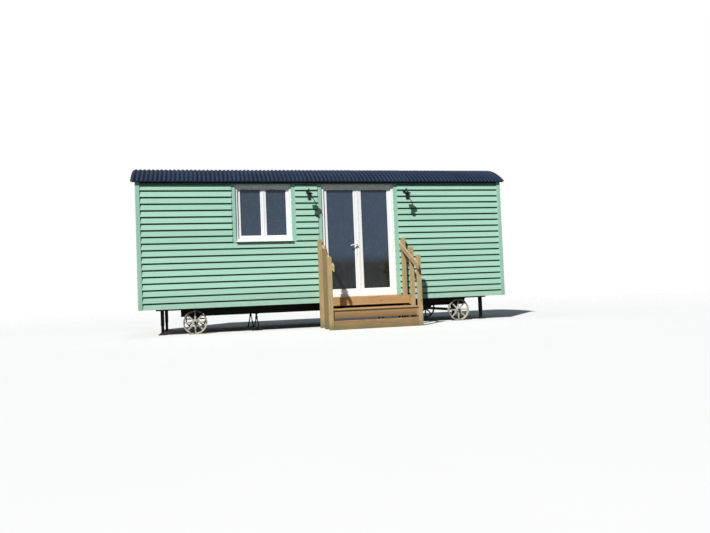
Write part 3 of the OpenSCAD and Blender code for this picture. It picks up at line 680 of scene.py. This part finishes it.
def node_copy(name):
    """A node's mesh with its triangles joined into planar faces."""
    work = bmesh.new()
    work.from_mesh(nodes[name].data)
    bmesh.ops.remove_doubles(work, verts=work.verts, dist=same_point)
    bmesh.ops.dissolve_limit(work, angle_limit=flat_under, verts=work.verts, edges=work.edges)
    return work


def island_boxes(name):
    """Lowest and highest corner of each separate shape in a node."""
    work = node_copy(name)
    boxes = []
    for group in islands(work):
        boxes.append((Vector(min(v.co[i] for v in group) for i in range(3)),
                      Vector(max(v.co[i] for v in group) for i in range(3))))
    work.free()
    return boxes


def rounded(node, width, material, body="hut", tone_at=None):
    """Stands for a CAD node: the same shape with worn edges, and a tone for each of its boards.

    tone_at takes a vertex's place and its board's own tone, and gives the tone there.
    """
    work = node_copy(node)
    layer = work.verts.layers.float.new("tone")
    for group in islands(work):
        tone = random.random()
        for vert in group:
            vert[layer] = tone_at(vert.co, tone) if tone_at else tone
    bevel_edges(work, width)
    mesh = bpy.data.meshes.new("rounded_" + node)
    work.to_mesh(mesh)
    work.free()
    piece = finished("rounded_" + node, mesh, material, body, 40)
    weighted = piece.modifiers.new("weighted", "WEIGHTED_NORMAL")
    weighted.keep_sharp = True
    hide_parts(node)
    return piece


def coat(node, material, smooth_angle=None):
    """Gives a CAD node, which shows as it is, one material."""
    mesh = nodes[node].data
    mesh.materials.clear()
    mesh.materials.append(materials[material])
    mesh.polygons.foreach_set("material_index", [0] * len(mesh.polygons))
    smooth(mesh, smooth_angle)


# Boards on the outside of the walls

board_slope = 0.028
lip_round = 0.0015
# The middle of a rounded edge lies this share of its radius in from each face
round_middle = 0.3
least_row = 0.004
nail_every = 0.6
nail_up = 0.028
nail_in = 0.03
nail_clear = 0.01
nail_profile = [(0.0034, -0.0006), (0.0034, 0.0004), (0.0022, 0.0009)]
back_joints = (0.64, 0.36)
joint_gap = 0.001
arch_steps = 8
narrowest_nailed = 0.15


def board_profile(foot, head, full_head, rows):
    """Section of one board as depth behind the lips and height; its face leans back towards its head."""
    def depth(z):
        return board_slope * (z - foot) / (full_head - foot)
    face = [foot + lip_round + (head - foot - lip_round) * k / rows for k in range(rows + 1)]
    corner = lip_round * round_middle
    points = [(clad_t, foot), (lip_round, foot), (corner, foot + corner)]
    points += [(depth(z), z) for z in face]
    points += [(clad_t, head)]
    return points


def on_front(along, depth, z):
    """A place on the wall: its distance along it, its depth behind the lips and its height."""
    return Vector((left_x + along, lip_y + depth, z))


def on_back(along, depth, z):
    return Vector((left_x + along, back_y - depth, z))


def on_left(along, depth, z):
    return Vector((left_x + depth, mid_y + along, z))


def on_right(along, depth, z):
    return Vector((right_x - depth, mid_y + along, z))


def lay_board(pile, at, start, end, foot, head, full_head, tone, rows=1):
    """One board between two ends; an end is a number or a function of the height."""
    profile = board_profile(foot, head, full_head, rows)
    rings = []
    for stop in (start, end):
        rings.append([at(stop(z) if callable(stop) else stop, d, z) for d, z in profile])
    pile.loft(rings, tone)


def row_heights(top):
    """Foot, head and full head of each row of boards up to a height."""
    rows = []
    foot = foot_z
    while foot < top - least_row:
        full = foot + board_pitch
        rows.append((foot, min(full, top), full))
        foot = full
    return rows


def nail_row(nails, at, out, start, end, foot, tone):
    """Nail heads in a line near the foot of a board, from one end to the other."""
    depth = board_slope * nail_up / board_pitch
    count = max(2, round((end - start) / nail_every) + 1)
    for k in range(count):
        along = start + nail_in + (end - start - 2 * nail_in) * k / (count - 1)
        nails.turned(at(along, depth, foot + nail_up), out, nail_profile, 8, tone)


def clad_front(pile, nails):
    """Rows of boards between the corner trims, cut out for the window, the doors and their trims."""
    length = right_x - left_x
    first = trim_reach
    last = length - trim_reach
    window_left = window_low.x - left_x + window_trim_lap - trim_reach
    window_right = window_high.x - left_x - window_trim_lap + trim_reach
    door_left = door_low.x - left_x - trim_reach
    door_right = door_high.x - left_x + trim_reach
    cill_z = window_low.z
    for foot, head, full in row_heights(eave_z):
        tone = random.random()
        spans = []
        if head <= cill_z:
            spans.append((first, door_left, head))
        else:
            spans.append((first, window_left, head))
            spans.append((window_right, door_left, head))
            if foot < cill_z:
                spans.append((window_left, window_right, cill_z))
        for start, end, top in spans:
            lay_board(pile, on_front, start, end, foot, top, full, tone)
            nail_row(nails, on_front, (0, -1, 0), start, end, foot, tone)
        tone = random.random()
        lay_board(pile, on_front, door_right, last, foot, head, full, tone)
        nail_row(nails, on_front, (0, -1, 0), door_right, last, foot, tone)


def clad_back(pile, nails):
    """Two boards a row, with joints that alternate between two places."""
    length = right_x - left_x
    for k, (foot, head, full) in enumerate(row_heights(eave_z)):
        joint = length * back_joints[k % 2]
        for start, end in ((trim_reach, joint - joint_gap), (joint + joint_gap, length - trim_reach)):
            tone = random.random()
            lay_board(pile, on_back, start, end, foot, head, full, tone)
            nail_row(nails, on_back, (0, 1, 0), start, end, foot, tone)


def clad_end(pile, nails, at, out):
    """Boards of an end wall, cut to the inner edge of the curved trim."""
    half = mid_y - lip_y - trim_reach
    trim_w = trim_reach + corner_proud
    inner_r = roof_r - deck_t - trim_w
    crown = roof_z + inner_r

    def reach(z):
        return min(half, math.sqrt(max(0.0, inner_r ** 2 - (z - roof_z) ** 2)))

    for foot, head, full in row_heights(crown - tolerance):
        tone = random.random()
        steps = 1 if reach(head) == half else arch_steps
        lay_board(pile, at, lambda z: -reach(z), reach, foot, head, full, tone, steps)
        wide = reach(foot + nail_up + nail_clear)
        if wide > narrowest_nailed:
            nail_row(nails, at, out, -wide, wide, foot, tone)


def add_boards():
    for side in ("front", "back", "left_end", "right_end"):
        boards = Pile()
        nails = Pile()
        if side == "front":
            clad_front(boards, nails)
        elif side == "back":
            clad_back(boards, nails)
        elif side == "left_end":
            clad_end(boards, nails, on_left, (-1, 0, 0))
        else:
            clad_end(boards, nails, on_right, (1, 0, 0))
        boards.made("boards_" + side, "boards", "hut", "wall_paint")
        nails.made("nails_" + side, "boards", "hut", "wall_paint")


def add_trims():
    rounded("corner_trims", 0.0025, "trims")
    rounded("opening_trims", 0.0015, "trims")
    rounded("eave_boards", 0.002, "eave")
    coat("gable_trims", "trims", 30)


# Inside faces

facing = 0.9
floor_board_w = 0.134
floor_board_gap = 0.0012
floor_board_t = 0.004


def line_walls():
    """The inner faces of the walls get the lining; their edges and outer faces keep the paint."""
    inward = {
        "front_wall_left": (0, 1, 0),
        "front_wall_right": (0, 1, 0),
        "front_wall_over_door": (0, 1, 0),
        "back_wall": (0, -1, 0),
        "left_end_wall": (1, 0, 0),
        "right_end_wall": (-1, 0, 0),
    }
    for node, direction in inward.items():
        coat(node, "boards")
        mesh = nodes[node].data
        mesh.materials.append(materials["lining"])
        towards = Vector(direction)
        for polygon in mesh.polygons:
            if polygon.normal.dot(towards) > facing:
                polygon.material_index = 1
    coat("roof_deck", "ceiling", 30)
    coat("floor", "floor")
    rounded("door_sill_beam", 0.003, "treads")


def add_floor_boards():
    """Thin boards on the floor slab, two to a row, with the joint somewhere in the middle part."""
    low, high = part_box("floor")
    pile = Pile()
    top = high.z + floor_board_t
    half_gap = floor_board_gap / 2
    for k in range(math.ceil((high.y - low.y) / floor_board_w)):
        near = low.y + k * floor_board_w
        far = min(near + floor_board_w - floor_board_gap, high.y)
        joint = low.x + (high.x - low.x) * random.uniform(0.3, 0.7)
        for start, end in ((low.x, joint - half_gap), (joint + half_gap, high.x)):
            pile.block(Vector((start, near, high.z)), Vector((end, far, top)))
    pile.made("floor_boards", "floor", "hut", "floor_timber")


# Roof

screw_spacing = 3
screw_lines = 6
screw_reach = 0.93
screw_profile = [(0.0062, 0.001), (0.0062, 0.0035), (0.0045, 0.0052), (0.0018, 0.006)]
washer_profile = [(0.0095, -0.003), (0.0095, 0.0008), (0.0075, 0.0018)]
above_roof = 0.3
inner_face = -0.2


def add_roof():
    """Sheets dark on top and grey beneath."""
    for k in range(roof_sheets):
        name = "roof_sheet_%d" % (k + 1)
        coat(name, "roof", 30)
        mesh = nodes[name].data
        mesh.materials.append(materials["sheet_back"])
        for polygon in mesh.polygons:
            out = Vector((0, polygon.center.y - mid_y, polygon.center.z - roof_z)).normalized()
            if polygon.normal.dot(out) < inner_face:
                polygon.material_index = 1


def add_roof_screws():
    """Domed screws with washers, on the crowns of the sheets in lines from end to end."""
    screws = Pile()
    washers = Pile()
    for k in range(roof_sheets):
        mesh = nodes["roof_sheet_%d" % (k + 1)].data
        tree = BVHTree.FromPolygons([v.co for v in mesh.vertices], [p.vertices for p in mesh.polygons])
        low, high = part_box("roof_sheet_%d" % (k + 1))
        crowns = int((high.x - low.x) / corr_pitch)
        for c in range(0 if k == 0 else 1, crowns - 1, screw_spacing):
            x = low.x + corr_pitch * (c + 0.5)
            for line in range(screw_lines):
                angle = eave_angle * screw_reach * (2 * line / (screw_lines - 1) - 1)
                out = Vector((0, math.sin(angle), math.cos(angle)))
                start = Vector((x, mid_y, roof_z)) + out * (roof_r + above_roof)
                hit = tree.ray_cast(start, -out)[0]
                if hit is None:
                    continue
                washers.turned(hit, out, washer_profile, 10)
                screws.turned(hit, out, screw_profile, 8)
    screws.made("roof_screws", "roof", "hut", "roof_steel", smooth_angle=40)
    washers.made("roof_washers", "rubber", "hut", "roof_steel", smooth_angle=40)


# Window, doors and lamps

even_tone = 0.5
seal_share = 0.45
seal_front = 0.001
seal_back = 0.004
seal_short = 0.019
seal_side_gap = 0.0002
gasket_grip = 0.012
gasket_w = 0.004
gasket_proud = 0.0015
socket_profile = [(0.013, 0.0), (0.013, 0.022), (0.011, 0.026)]
bulb_profile = [(0.009, 0.024), (0.012, 0.036), (0.0165, 0.048), (0.0165, 0.056), (0.012, 0.066),
                (0.005, 0.071)]


def add_frames():
    rounded("window_frame", 0.0025, "plastic")
    rounded("window_sashes", 0.0025, "plastic")
    rounded("door_frame", 0.0025, "plastic")
    rounded("left_door", 0.0025, "plastic", "left_leaf")
    rounded("right_door", 0.0025, "plastic", "right_leaf")
    for node in ("window_glass", "left_door_glass", "right_door_glass"):
        coat(node, "pane")
    for node in ("left_door_hinges", "right_door_hinges", "hinge_pins"):
        coat(node, "plastic", 35)
    paint_handle()


def paint_handle():
    """White plates and levers, with zinc locks in the middle of the plates."""
    coat("door_handle", "plastic", 35)
    mesh = nodes["door_handle"].data
    mesh.materials.append(materials["zinc"])
    low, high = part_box("door_handle")
    lock = Vector((high.x - handle_plate_w / 2, 0, (low.z + high.z) / 2))
    lock_area = (2 * lock_r) ** 2
    for polygon in mesh.polygons:
        away = Vector((polygon.center.x - lock.x, 0, polygon.center.z - lock.z))
        if away.length < lock_r and polygon.area < lock_area:
            polygon.material_index = 1


def add_meeting_seals():
    """White seals that fill the joint of the doors, half on each leaf, and the joint of the sashes."""
    leaf_low, leaf_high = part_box("left_door")
    other_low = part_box("right_door")[0]
    half = (other_low.x - leaf_high.x) * seal_share
    near = leaf_low.y + seal_front
    far = leaf_high.y - seal_back
    foot = leaf_low.z + seal_short
    head = leaf_high.z - seal_short
    starts = {"left": leaf_high.x, "right": other_low.x - half}
    for name, start in starts.items():
        pile = Pile()
        pile.block(Vector((start, near, foot)), Vector((start + half, far, head)), even_tone)
        body = name + "_leaf"
        pile.made("meeting_seal_" + name, "plastic", body, "white_plastic", bevel=0.0008)
    left_sash, right_sash = sorted(island_boxes("window_sashes"), key=lambda box: box[0].x)
    low, high = left_sash
    pile = Pile()
    seal_low = Vector((high.x + seal_side_gap, low.y + seal_front, low.z + seal_short))
    seal_high = Vector((right_sash[0].x - seal_side_gap, high.y - seal_back, high.z - seal_short))
    pile.block(seal_low, seal_high, even_tone)
    pile.made("sash_seal", "plastic", "hut", "white_plastic", bevel=0.0005)


def add_gasket(pile, low, high, y, side):
    """A thin rubber frame on the glass, just inside the bevel; side is the way it faces."""
    x0 = low.x + gasket_grip
    x1 = high.x - gasket_grip
    z0 = low.z + gasket_grip
    z1 = high.z - gasket_grip
    near = min(y, y + side * gasket_proud)
    far = max(y, y + side * gasket_proud)
    strips = (
        (x0, z0, x1, z0 + gasket_w),
        (x0, z1 - gasket_w, x1, z1),
        (x0, z0 + gasket_w, x0 + gasket_w, z1 - gasket_w),
        (x1 - gasket_w, z0 + gasket_w, x1, z1 - gasket_w),
    )
    for left, foot, right, head in strips:
        pile.block(Vector((left, near, foot)), Vector((right, far, head)), even_tone)


def add_gaskets():
    panes = {"window_glass": "hut", "left_door_glass": "left_leaf", "right_door_glass": "right_leaf"}
    for node, body in panes.items():
        pile = Pile()
        for low, high in island_boxes(node):
            add_gasket(pile, low, high, low.y, -1)
            add_gasket(pile, low, high, high.y, 1)
        pile.made("gasket_" + node, "rubber", body, "white_plastic")


def add_lamps():
    """Lanterns with a small bulb on a socket inside the glass."""
    coat("wall_lamps", "iron", 35)
    coat("lamp_glass", "lamp")
    bulbs = Pile()
    sockets = Pile()
    for low, high in island_boxes("lamp_glass"):
        centre = Vector(((low.x + high.x) / 2, (low.y + high.y) / 2, high.z))
        sockets.turned(centre, (0, 0, -1), socket_profile, 16)
        bulbs.turned(centre, (0, 0, -1), bulb_profile, 16)
    bulbs.made("lamp_bulbs", "bulb", "hut", "lamp_pane", smooth_angle=60)
    sockets.made("lamp_sockets", "iron", "hut", "lamp_black", smooth_angle=35)


# Steps

left_post_within = 0.1
end_post_within = 0.3
base_board_h = 0.17
rail_bolt_drops = (0.105, 0.165)
side_bolt_heights = (0.265, 0.075)
bolt_profile = [(0.011, -0.001), (0.011, 0.0012), (0.0085, 0.0035), (0.004, 0.005)]
deck_screw_profile = [(0.0045, -0.001), (0.0045, 0.0004), (0.002, 0.0002)]
screw_from_end = 0.014
screw_from_edge = 0.03


def post_tone_and_shade(place, own):
    """The middle left post is darkest and brownest, as painted shade; the others take a small share of
    their own tone.
    """
    low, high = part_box("step_posts")
    left = place.x < low.x + left_post_within
    middle = low.y + end_post_within < place.y < high.y - end_post_within
    # painted shade: the middle left post gets a dark brown tone
    return 0.9 if left and middle else 0.25 * own


def landing_tone(place, own):
    """The riser has one tone, and behind it each deck board has its own."""
    return 0.12 if place.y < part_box("landing")[0].y + step_board_t + tolerance else 0.4 * own


def lower_tone(place, own):
    """The riser is dark, and the board on the ground is weathered."""
    low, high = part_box("lower_step")
    if place.z < low.z + base_board_h:
        return 0.45
    return 1.0 if place.z < high.z - lower_tread_t - tolerance else 0.3 * own


def add_steps():
    rounded("step_posts", 0.003, "posts", tone_at=post_tone_and_shade)
    rounded("handrails", 0.004, "rails")
    rounded("landing", 0.003, "treads", tone_at=landing_tone)
    rounded("lower_step", 0.002, "treads", tone_at=lower_tone)
    rounded("step_sides", 0.003, "bearers")


def add_step_bolts():
    """Coach bolts through the posts into the rails and the side boards, and screws in the deck."""
    pile = Pile()
    posts = island_boxes("step_posts")
    middle = sum((low.x + high.x) / 2 for low, high in posts) / len(posts)
    for low, high in posts:
        side = 1 if low.x > middle else -1
        x = high.x if side > 0 else low.x
        y = (low.y + high.y) / 2
        for drop in rail_bolt_drops:
            pile.turned(Vector((x, y, high.z - drop)), (side, 0, 0), bolt_profile, 12)
        for up in side_bolt_heights:
            pile.turned(Vector((x, y, up)), (side, 0, 0), bolt_profile, 12)
    for low, high in island_boxes("landing"):
        for x in (low.x + screw_from_end, (low.x + high.x) / 2, high.x - screw_from_end):
            for y in (low.y + screw_from_edge, high.y - screw_from_edge):
                pile.turned(Vector((x, y, high.z)), (0, 0, 1), deck_screw_profile, 8)
    pile.made("step_bolts", "zinc", "hut", "chassis_steel", smooth_angle=50)


# Running gear

def add_chassis():
    for node in ("chassis_beams", "cross_members", "axles", "corner_legs", "axle_stands"):
        coat(node, "steel", 35)
    coat("wheels", "wheel", 35)


# Floor of the studio

stage_reach = 60.0
fade_from = 6.0
fade_to = 22.0


def add_floor_stage():
    """A floor that is pale for the camera, dim for other rays, and fades into the white background."""
    mesh = bpy.data.meshes.new("floor_stage")
    corners = [(x * stage_reach, y * stage_reach, 0) for x, y in ((-1, -1), (1, -1), (1, 1), (-1, 1))]
    mesh.from_pydata(corners, [], [(0, 1, 2, 3)])
    s = Surface("pale_floor", Specular_IOR_Level=0.1)
    cloud = s.noise(0.7, 3)
    pale = s.mix(cloud, (0.90, 0.90, 0.89, 1), (0.87, 0.87, 0.86, 1))
    seen = s.node("ShaderNodeLightPath").outputs["Is Camera Ray"]
    s.colour(s.mix(seen, (0.12, 0.125, 0.115, 1), pale))
    s.set(Roughness=0.9)
    s.feed(s.shader.inputs["Alpha"], s.span(s.length(s.place), fade_from, fade_to, 1.0, 0.0))
    mesh.materials.append(s.material)
    stage = bpy.data.objects.new("floor_stage", mesh)
    bpy.context.collection.objects.link(stage)


add_camera()
add_sun()
add_world()
add_floor_stage()
add_boards()
add_trims()
line_walls()
add_floor_boards()
add_roof()
add_roof_screws()
add_frames()
add_gaskets()
add_meeting_seals()
add_lamps()
add_steps()
add_step_bolts()
add_chassis()
bpy.context.scene.view_settings.view_transform = "Standard"

bpy.context.view_layer.update()
